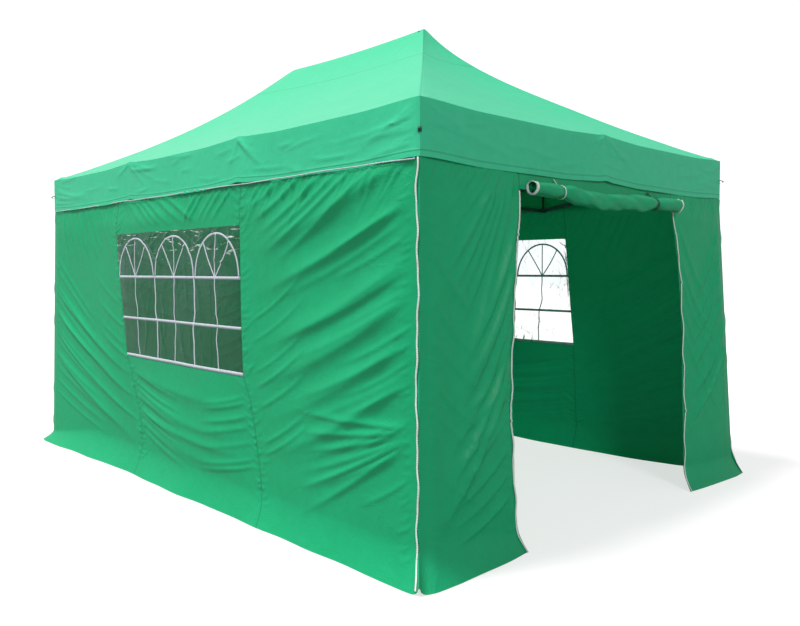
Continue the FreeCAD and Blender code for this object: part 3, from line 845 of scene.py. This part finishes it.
front_flare = ([-2.26, -1.4, -0.5, 1.2, 2.0, 2.26], [0.09, 0.095, 0.068, 0.052, 0.06, 0.065])
back_flare = ([-2.26, -1.9, 1.9, 2.26], [0.05, -0.08, -0.08, 0.05])
left_lean, back_right_lean, corner_skirt = 0.045, 0.100, 0.065
front = new_wall((1, 0, 0), (0, -1, 0), wall_out_y, long_half, front_flare, (0.0, 0.05),
                 (left_lean, 0.0), (0.02, corner_skirt))
front["skirt"] = ([-2.26, -1.5], [0.07, skirt_z])
back = new_wall((-1, 0, 0), (0, 1, 0), wall_out_y, long_half, back_flare, (0.0, 0.0),
                (back_right_lean, 0.0), (0.06, 0.05))
wall_front = make_long_wall("wall_front", front, front_seams, 3, main_body)
wall_back = make_long_wall("wall_back", back, back_seams, 8, "leg_back_right")

# ---- windows: clear panes
# Flexible clear vinyl 0.5 mm thick, heat-sealed into the cloth. It is stiff and crinkled where it
# was folded; along the top of the front one, thin streaks of matt white are painted on to stand in for glare
# on its creases.
clear_vinyl, tree = new_material("clear_flexible_vinyl")
flat = add_node(tree, "UVMap", uv_map="flat").outputs[0]
crinkle = add_node(tree, "TexNoise", {
    "Vector": flat, "Scale": 9.0, "Detail": 5.0, "Distortion": 1.2})
bump = add_node(tree, "Bump", {
    "Height": crinkle.outputs["Fac"], "Strength": 0.5, "Distance": 0.01})
rim = add_node(tree, "Fresnel", {"IOR": 1.5, "Normal": bump.outputs[0]})
share = add_node(tree, "MapRange", {
    "Value": rim.outputs[0], "From Min": 0.04, "From Max": 0.7, "To Min": 0.03, "To Max": 0.9})
high = add_node(tree, "SeparateXYZ", {0: flat}).outputs["Y"]
near_top = add_node(tree, "MapRange", {"Value": high, "From Min": 1.52, "From Max": 1.70})
longways = add_node(tree, "Mapping", {"Vector": flat, "Rotation": (0, 0, -0.35), "Scale": (2.2, 13, 1)})
glare_streak_noise = add_node(tree, "TexNoise", {
    "Vector": longways.outputs[0], "Scale": 1.6, "Detail": 6.0, "Roughness": 0.62, "Distortion": 1.5})
painted_glare_streaks = add_node(tree, "MapRange", {
    "Value": glare_streak_noise.outputs["Fac"], "From Min": 0.60, "From Max": 0.64, "To Max": 0.75})
painted_glare_mask = add_node(tree, "Math", {0: painted_glare_streaks.outputs[0], 1: near_top.outputs[0]},
                   operation="MULTIPLY")
shine = add_node(tree, "BsdfGlossy", {
    "Color": linear("F4F7FF"), "Roughness": 0.06, "Normal": bump.outputs[0]})
clear = add_node(tree, "BsdfTransparent", {"Color": linear("FAFCFC")})
# Painted highlight: near the top of the pane, a matt white diffuse is mixed in along thin streaks to stand in
# for glare on the creases.
painted_glare_white = add_node(tree, "BsdfDiffuse", {"Color": linear("F2F8F6")})
smooth_part = add_node(tree, "MixShader", {
    0: share.outputs[0], 1: clear.outputs[0], 2: shine.outputs[0]})
finish_material(tree, add_node(tree, "MixShader", {
    0: painted_glare_mask.outputs[0], 1: smooth_part.outputs[0], 2: painted_glare_white.outputs[0]}))


def crinkled_pane(name, wall, seed, body, sharp, long_marks, uv_drop):
    """The clear pane: it takes the cloth's shape at its rim and its own crinkles inside: sharp ones
    along its top, and long ones below. uv_drop moves its UV down, away from the streaks of painted glare near
    the top."""
    rng = np.random.default_rng(seed)
    z = np.linspace(window_low_z, window_high_z, 120)[:, None]
    left, right = (np.interp(z, *line) for line in wall["seams"])
    a = left + (right - left) * np.linspace(0, 1, 215)[None, :]
    z = z + 0 * a
    creases = []
    for k in range(sharp):
        x, h = rng.uniform(-0.9, 0.75), window_high_z - abs(rng.normal(0.0, 0.08))
        turn, long = rng.uniform(-0.9, 0.9), rng.uniform(0.06, 0.26)
        creases.append((x, h, x + long * math.cos(turn), h + long * math.sin(turn), rng.uniform(-0.02, 0.03),
                        rng.uniform(0.006, 0.014), rng.uniform(0.004, 0.011), "swag"))
    for k in range(long_marks):
        x, h = rng.uniform(-0.8, 0.75), rng.uniform(0.9, 1.7)
        long = rng.uniform(0.15, 0.5)
        creases.append((x, h, x + rng.uniform(-0.2, 0.2), h - long, rng.uniform(-0.02, 0.02),
                        rng.uniform(0.012, 0.03), rng.uniform(0.001, 0.003), "swag"))
    points = on_wall(wall, a, z, slack_at(wall, creases, a, z))
    piece = grid_piece(name, points, flat=np.stack([a, z - uv_drop], -1))
    dress(piece, clear_vinyl, body)
    return piece, lambda x, h: slack_at(wall, creases, x, h)


def slack_at(wall, creases, a, z):
    """How far the pane stands off its cloth at (a, z)."""
    a, z = np.asarray(a, float), np.asarray(z, float)
    left, right = (np.interp(z, *line) for line in wall["seams"])
    rim = smooth_step(np.minimum.reduce([a - left, right - a, z - window_low_z, window_high_z - z]), 0, 0.02)
    return fold_heights(creases, a, z) * rim + 0.006 * np.sin(5.0 * a + 2.0) * np.sin(3.5 * z) * rim


window_front, front_slack = crinkled_pane("window_front", front, 21, main_body, 60, 26, 0.0)
window_back, back_slack = crinkled_pane("window_back", back, 22, "leg_back_right", 0, 8, 1.0)

# ---- windows: sewn tracery
# Pale grey satin tape welded to the pane: two rails 19 mm wide, a 22 mm sill, three round arches of
# 14 mm with three 10 mm spokes each, and five uprights of both those widths that wander a little.
tape = ribbed("pale_grey_satin_tape", "9AA2B0", "BFC5D1", 40.0, 60.0, 4.0, (0.3, 0.0006), (0.4, 0.6), 0.2)
rail_half, sill_half, arch_tape_half, thin_half = 0.0095, 0.011, 0.0070, 0.0048
arch_z, middle_z, arch_high = 1.44, 1.14, 0.275
arch_shares = (1 / 6, 1 / 2, 5 / 6)


def tape_on(wall, slack, name, a, z, half):
    """A flat tape on the outer face of the pane, along the line (a, z)."""
    a, z = np.asarray(a, float), np.asarray(z, float)
    spots = on_wall(wall, a, z, slack(a, z))
    return strip(name, spots, across(spots, wall["out"]), wall["out"], band(half, 0.0004, 0.0022))


def tracery(name, wall, slack, body, seed):
    rng = np.random.default_rng(seed)
    tapes = []
    for k, (z, half) in enumerate(((arch_z, rail_half), (middle_z, rail_half),
                                   (window_low_z + 0.010, sill_half))):
        a = np.linspace(*(float(np.interp(z, *line)) for line in wall["seams"]), 90)
        tapes.append(tape_on(wall, slack, f"rail_{k}", a, z + 0 * a, half))
    low_a, high_a = (float(np.interp(arch_z, *line)) for line in wall["seams"])
    span = high_a - low_a
    arch_half = span / 6 - 0.013
    for k, share in enumerate(arch_shares):
        middle = low_a + span * share
        turn = np.linspace(0, math.pi, 40)
        a = middle + arch_half * np.cos(turn)
        z = arch_z + arch_high * np.sin(turn)
        tapes.append(tape_on(wall, slack, f"arch_{k}", a, z, arch_tape_half))
        for n, lean in enumerate((-0.62, 0.0, 0.62)):
            t = np.linspace(0, 1, 24)
            end_a, end_z = arch_half * math.sin(lean), arch_high * math.cos(lean)
            sway = rng.uniform(-0.012, 0.012) * np.sin(np.pi * t)
            tapes.append(tape_on(wall, slack, f"spoke_{k}_{n}", middle + end_a * t + sway,
                                 arch_z + end_z * t, thin_half))
    for k in range(5):
        t = np.linspace(0, 1, 70)
        z = arch_z - (arch_z - window_low_z) * t
        a = low_a + span * (k + 1) / 6 + rng.uniform(0.01, 0.05) * t
        sway = 0.009 * np.sin(9.5 * t + rng.uniform(0, 6)) + 0.005 * np.sin(21 * t + rng.uniform(0, 6))
        tapes.append(tape_on(wall, slack, f"upright_{k}", a + sway * np.sin(np.pi * t) ** 0.4, z,
                             (thin_half, arch_tape_half)[k % 2]))
    piece = joined(name, tapes)
    dress(piece, tape, body)
    return piece


tracery_front = tracery("tracery_front", front, front_slack, main_body, 31)
tracery_back = tracery("tracery_back", back, back_slack, "leg_back_right", 32)

# ---- left wall, closed
# The short wall at the far end: two widths of the wall cloth with one puckered seam in the middle and
# no window. It is hooked under the valance and zipped to the long walls at its corners.
end_half = wall_out_y
left_seam = upright(0.0)
end_rows = row_heights([wall_low_z, 0.03, 1.9, wall_top_z], 0.0115)
left_flare = ([-1.53, 0, 1.53], [0.05, 0.08, 0.02])
left = new_wall((0, -1, 0), (-1, 0, 0), wall_out_x, end_half, left_flare, (0.0, 0.0),
                (0.0, left_lean), (0.05, 0.09))
left["skirt"] = ([1.0, 1.53], [skirt_z, 0.07])
rng = np.random.default_rng(14)
for way in (-1, 1):
    add_swags(
        left, rng,
        (6, ((way * 1.48, 2.05), (way * 1.48, 0.7)), ((way * 0.06, 1.55), (way * 0.06, 0.2)),
         0.07, 0.060, 0.013, 0.4),
        (9, ((way * 1.48, 1.8), (way * 1.48, 0.4)), ((way * 0.7, 1.3), (way * 0.6, 0.15)),
         0.03, 0.022, 0.006),
        (7, ((way * 0.03, 1.4), (way * 0.03, 0.3)), ((way * 0.6, 1.6), (way * 0.7, 0.6)),
         0.03, 0.022, 0.006))
for way in (-1, 1):
    left["folds"] += puckers(rng, left_seam, 0.15, 1.98, 0.045, way, 0.12, 0.006, 0.4)
    left["folds"] += puckers(rng, upright(-way * (end_half - 0.045)), 0.15, 1.95, 0.06, way,
                             0.10, 0.006, -0.5)
left["folds"] += gathers(rng, -1.45, 1.45, 1.995, 0.07, 0.2, 0.007, 0.3)
left["waves"] = [(0.009, 2.3, 1.3, 0.9), (0.005, 4.4, -2.7, 0.4)]
wall_left = cloth_wall("wall_left_cloth", left, [upright(-end_half), left_seam, upright(end_half)],
                       end_rows, 0.0125)
dress(wall_left, wall_cloth, "leg_front_left", instead_of="wall_left")

# ---- door wall
# Two flanks under a head strip, on the right-hand end. The edges of the opening are the two halves
# of the door's zips; with the door up they hang slack, and the far one is drawn outward.
door_head_z = 1.905
door_near = ([0.0, 0.10, 0.33, 0.74, 1.07, 1.5, 1.87, 2.24],
             [-0.765, -0.80, -0.828, -0.842, -0.845, -0.83, -0.805, -0.80])
door_far = ([0.0, 0.06, 0.14, 0.5, 1.07, 1.5, 1.84, 2.24],
            [0.90, 0.925, 0.948, 0.957, 0.952, 0.885, 0.805, 0.80])
door_flare = ([-1.53, -1.3, -0.8, 0.8, 1.1, 1.53], [corner_skirt, 0.07, 0.05, 0.09, 0.07, 0.06])
door = new_wall((0, 1, 0), (1, 0, 0), wall_out_x, end_half, door_flare, (0.05, 0.0),
                (0.0, back_right_lean), (corner_skirt, 0.03))
door["skirt"] = ([-1.3, -0.9], [skirt_z, 0.15])
rng = np.random.default_rng(9)
add_swags(
    door, rng,
    (6, ((-0.82, 1.90), (-0.86, 0.95)), ((-1.30, 1.05), (-1.46, 0.1)),
     0.04, 0.055, 0.034),
    (5, ((-1.05, 1.97), (-0.84, 1.97)), ((-1.43, 1.5), (-1.20, 1.0)),
     0.02, 0.034, 0.020),
    (7, ((-0.86, 1.3), (-0.84, 0.25)), ((-1.35, 0.8), (-1.35, 0.08)),
     0.04, 0.026, 0.012),
    (6, ((-1.47, 1.7), (-1.47, 0.5)), ((-1.10, 1.3), (-1.0, 0.2)),
     0.02, 0.022, 0.010),
    (6, ((1.46, 1.95), (1.48, 0.9)), ((1.0, 1.3), (0.97, 0.30)),
     0.03, 0.038, 0.022),
    (5, ((0.86, 1.9), (0.97, 1.0)), ((1.35, 1.25), (1.45, 0.25)),
     0.03, 0.030, 0.008))
door["folds"] += gathers(rng, -1.46, -0.84, 2.01, 0.05, 0.24, 0.010, -0.7)
door["folds"] += gathers(rng, 0.86, 1.46, 2.01, 0.05, 0.24, 0.010, -0.5)
for line, way in ((door_near, -1), (door_far, 1)):
    door["folds"] += puckers(rng, (line[0], [v + way * 0.01 for v in line[1]]), 0.1, 1.85, 0.05, way,
                             0.09, 0.006, 0.3)
for way in (-1, 1):
    door["folds"] += puckers(rng, upright(-way * (end_half - 0.045)), 0.15, 1.95, 0.055, way,
                             0.08, 0.006, -0.3)
door["waves"] = [(0.010, 3.1, 1.6, 0.2), (0.006, 6.1, -3.0, 1.0)]
door_rows = row_heights([wall_low_z, 0.03, door_head_z, wall_top_z], 0.0105)
wall_door = cloth_wall("wall_door_cloth", door,
                       [upright(-end_half), door_near, door_far, upright(end_half)],
                       door_rows, 0.0115, [(1, 0.0, door_head_z)])
dress(wall_door, wall_cloth, instead_of="wall_door")

# ---- zips
# White coil zips, 11 mm across: one up each corner, and one up each side of the door. The coil is
# a small rib; its teeth are 3 mm apart, drawn at 8 mm so that they show.
zip_white = ribbed("white_polyester_coil_zip", "B9C4C1", "E2E9E7", 125.0 / math.pi, 20.0, 4.0,
                   (0.6, 0.0015), (0.4, 0.6))
zip_profile = [(-0.0055, 0.0006), (0.0055, 0.0006), (0.0055, 0.0018), (0.0030, 0.0024),
               (0.0018, 0.0046), (-0.0018, 0.0046), (-0.0030, 0.0024), (-0.0055, 0.0018)]


def zip_up(name, wall, line, inset, low, high, seed, body):
    """A zip on a wall along an upright line, moved sideways by inset."""
    rng = np.random.default_rng(seed)
    z = np.linspace(low, high, 260)
    wander = sum(size * np.sin(pitch * z + rng.uniform(0, 6))
                 for size, pitch in ((0.005, 7.0), (0.004, 21.0), (0.002, 43.0)))
    a = np.interp(z, *line) + inset + wander
    lift = 0.0015 + 0.002 * (1 + np.sin(23 * z + seed))
    piece = strip(name, on_wall(wall, a, z, lift), wall["along"], wall["out"], zip_profile)
    dress(piece, zip_white, body)
    return piece


zip_from_corner = 0.010
for k, (name, wall, side, body, slot) in enumerate((
        ("front_right", front, 1, main_body, "window_wall_cloth"),
        ("front_left", left, 1, "leg_front_left", "wall_cloth"),
        ("back_left", back, 1, "leg_back_right", "window_wall_cloth"),
        ("back_right", back, -1, "leg_back_right", "window_wall_cloth"))):
    edge = upright(side * wall["half"])
    zip_up("zip_" + name, wall, edge, -side * zip_from_corner, 0.012, 1.999, 40 + k, body)
zip_door_near = zip_up("zip_door_near", door, door_near, -0.012, 0.006, door_head_z - 0.01, 51,
                       main_body)
zip_door_far = zip_up("zip_door_far", door, door_far, 0.012, 0.006, door_head_z - 0.01, 52,
                      main_body)

# ---- the door, rolled up
# The door is nearly as wide as the opening, rolled up tight inside and loose outside, and held by two
# ties, so it hangs limp between them. Its zips are wound into both ends of the roll.
roll_low, roll_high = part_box("door_rolled")
roll_x, roll_z = (roll_low.x + roll_high.x) / 2, (roll_low.z + roll_high.z) / 2
roll_radius = (roll_high.x - roll_low.x) / 2
roll_y0, roll_y1 = roll_low.y, roll_high.y - 0.05
tie_y = (-0.50, 0.50)
loose_turns, loose_gap, tight_gap, core_radius, loose_from = 3.2, 0.0070, 0.0020, 0.006, 0.026


def roll_section():
    """Radius and angle along the wound cloth, from its core to its loose outer end."""
    tight_turns = (loose_from - core_radius) / tight_gap
    inner = np.linspace(0, tight_turns, int(tight_turns * 22), endpoint=False)
    outer = np.linspace(0, (roll_radius - loose_from) / loose_gap, 120)
    radius = np.concatenate([core_radius + tight_gap * inner, loose_from + loose_gap * outer])
    turn = np.concatenate([inner, tight_turns + outer]) * 2 * math.pi
    return radius, turn


def roll_shape(y, radius, turn):
    """A point of the roll: pinched at the ties, sagging and flattened between them."""
    t = (y - roll_y0) / (roll_y1 - roll_y0)
    pinch = sum(np.exp(-((y - tie) / 0.045) ** 2) for tie in tie_y)
    between = smooth_step(y, tie_y[0], tie_y[0] + 0.2) * (1 - smooth_step(y, tie_y[1] - 0.2, tie_y[1]))
    tight_end = 1 - smooth_step(y, roll_y0, roll_y0 + 0.3)
    size = (1 - 0.30 * pinch) * (1 - 0.20 * tight_end)
    wide, tall = size * (1 - 0.18 * between), size * (1 + 0.10 * between)
    twist = 0.35 * np.sin(4.0 * y + 0.5) * between
    hang = (-0.022 * between * np.sin(np.pi * (y - tie_y[0]) / (tie_y[1] - tie_y[0]))
            + 0.004 * np.sin(11 * y) + 0.012 * tight_end)
    angle = turn + twist
    ruck = 1 + (radius / roll_radius) ** 2 * (
        0.07 * np.sin(3 * angle + 16 * y) + 0.05 * np.sin(2 * angle - 27 * y + 1.0)
        + 0.03 * np.sin(5 * angle + 41 * y)) * (0.35 + 0.65 * between)
    x = roll_x + radius * ruck * wide * np.cos(angle)
    z = roll_z + radius * ruck * tall * np.sin(angle) + hang
    return np.stack([x, y + 0 * x, z], -1)


roll_radii, roll_turns = roll_section()
roll_stations = np.linspace(roll_y0, roll_y1, 110)
roll_points = roll_shape(roll_stations[None, :], roll_radii[:, None], roll_turns[:, None])
wound = np.concatenate([[0], np.cumsum(np.hypot(np.diff(roll_radii), roll_radii[1:] * np.diff(roll_turns)))])
roll_uv = np.stack(np.broadcast_arrays(roll_stations[None, :], wound[:, None]), -1)
door_roll = grid_piece("door_rolled_cloth", roll_points[:, ::-1], flat=roll_uv[:, ::-1],
                       marks={"seam": np.full(roll_uv.shape[:2], 0.5)})
dress(door_roll, wall_cloth, instead_of="door_rolled")

wound_zips = []
for k, y in enumerate((roll_y0, roll_y1)):
    outer = roll_radii > roll_radius - 1.7 * loose_gap
    spots = roll_shape(y + 0 * roll_radii[outer], roll_radii[outer], roll_turns[outer])
    spots[:, 1] += -0.002 if k == 0 else 0.002
    centre = np.array([roll_x, y, roll_z])
    radial = spots - centre
    radial[:, 1] = 0
    radial /= np.linalg.norm(radial, axis=1)[:, None]
    bead = [(-0.0075, -0.0012), (0.0075, -0.0012), (0.0075, 0.0012), (0.003, 0.0028), (-0.003, 0.0028),
            (-0.0075, 0.0012)]
    wound_zips.append(strip(f"wound_zip_{k}", spots, (0, 1, 0), radial, bead))
roll_zips = joined("door_roll_zips", wound_zips)
dress(roll_zips, zip_white)

# ---- door ties
# A flat white loop 8 mm wide near one end of the roll, and a tie 20 mm wide near the other, each
# sewn to the head strip and passed under the roll. The far tie is given the dark green webbing as painted
# shade: its dark colour stands in for the shade that falls on that tie.
webbing = ribbed("dark_green_polyester_webbing", "0B3F28", "14573A", 60.0, 90.0, 3.0,
                 (0.5, 0.001), (0.6, 0.8))


def roll_tie(name, y, half, reach, material, lean=0.0):
    """A tie round the roll at y, from the head strip down the front, under, and up behind."""
    turn = np.linspace(math.radians(112), math.radians(-200), 60)
    around = roll_shape(np.full(turn.shape, y), np.full(turn.shape, roll_radius), turn)
    centre = np.array([roll_x, y, around[:, 2].mean()])
    out = around - centre
    out[:, 1] = 0
    size = np.linalg.norm(out, axis=1)[:, None]
    spots = centre + out / size * (size.max() + 0.002)
    spots[:, 1] += lean * np.linspace(-1, 1, len(turn))
    top = np.array([wall_out_x + 0.006, y - lean, roll_z + reach])
    rise = np.linspace(0, 1, 8, endpoint=False)[:, None]
    spots = np.concatenate([top * (1 - rise) + spots[0] * rise, spots])
    piece = strip(name, spots, (0, 1, 0), across(spots, (0, 1, 0)), band(half, -0.0008, 0.0008))
    dress(piece, material)
    return piece


tie_near = roll_tie("door_tie_near", tie_y[0], 0.004, 0.075, zip_white, 0.008)
# Painted shade: the dark webbing colour of the far tie stands in for the shade on that tie.
painted_shade_tie_far = roll_tie("door_tie_far", tie_y[1], 0.010, 0.070, webbing, 0.004)

# ---- trim under the valance
# A pale strip of hook-and-loop tape joins the long walls to the valance. Only the lowest 6 mm of it
# shows, in a shallow wave.
pale_edges = []
for name, wall, body in (("front", front, main_body), ("back", back, "leg_back_right")):
    a = np.linspace(-long_half + 0.02, long_half - 0.018, 320)
    z = 1.993 + 0.002 * np.sin(5.0 * a) + 0.001 * np.sin(13.0 * a)
    spots = on_wall(wall, a, z, 0.0125)
    edge = strip(f"pale_edge_{name}", spots, (0, 0, 1), wall["out"],
                 [(-0.001, -0.0007), (0.005, -0.0007), (0.005, 0.0007), (-0.001, 0.0007)])
    dress(edge, tape, body)

# ---- guy loops
# A short loop of dark webbing, 18 mm wide, is sewn into each corner of the valance half way up it,
# and stands 30 mm out.
loop_z = eave_z - 0.55 * valance_drop
loop_reach, loop_half = 0.030, 0.009
for name, sx, sy in (("front_right", 1, -1), ("front_left", -1, -1), ("back_right", 1, 1),
                     ("back_left", -1, 1)):
    out = np.array([sx, sy, 0.0]) / math.sqrt(2)
    root = np.array([sx * (eave_x - 0.004), sy * (eave_y - 0.004), loop_z])
    t = np.linspace(0, 1, 24)[:, None]
    spots = root + out * loop_reach * np.sin(np.pi * t) ** 0.8 + np.array([0, 0, 0.024]) * (0.5 - t)
    side = np.array([-out[1], out[0], 0.0])
    loop = strip("guy_loop_" + name, spots, side, across(spots, side), band(loop_half, -0.0008, 0.0008))
    dress(loop, webbing)
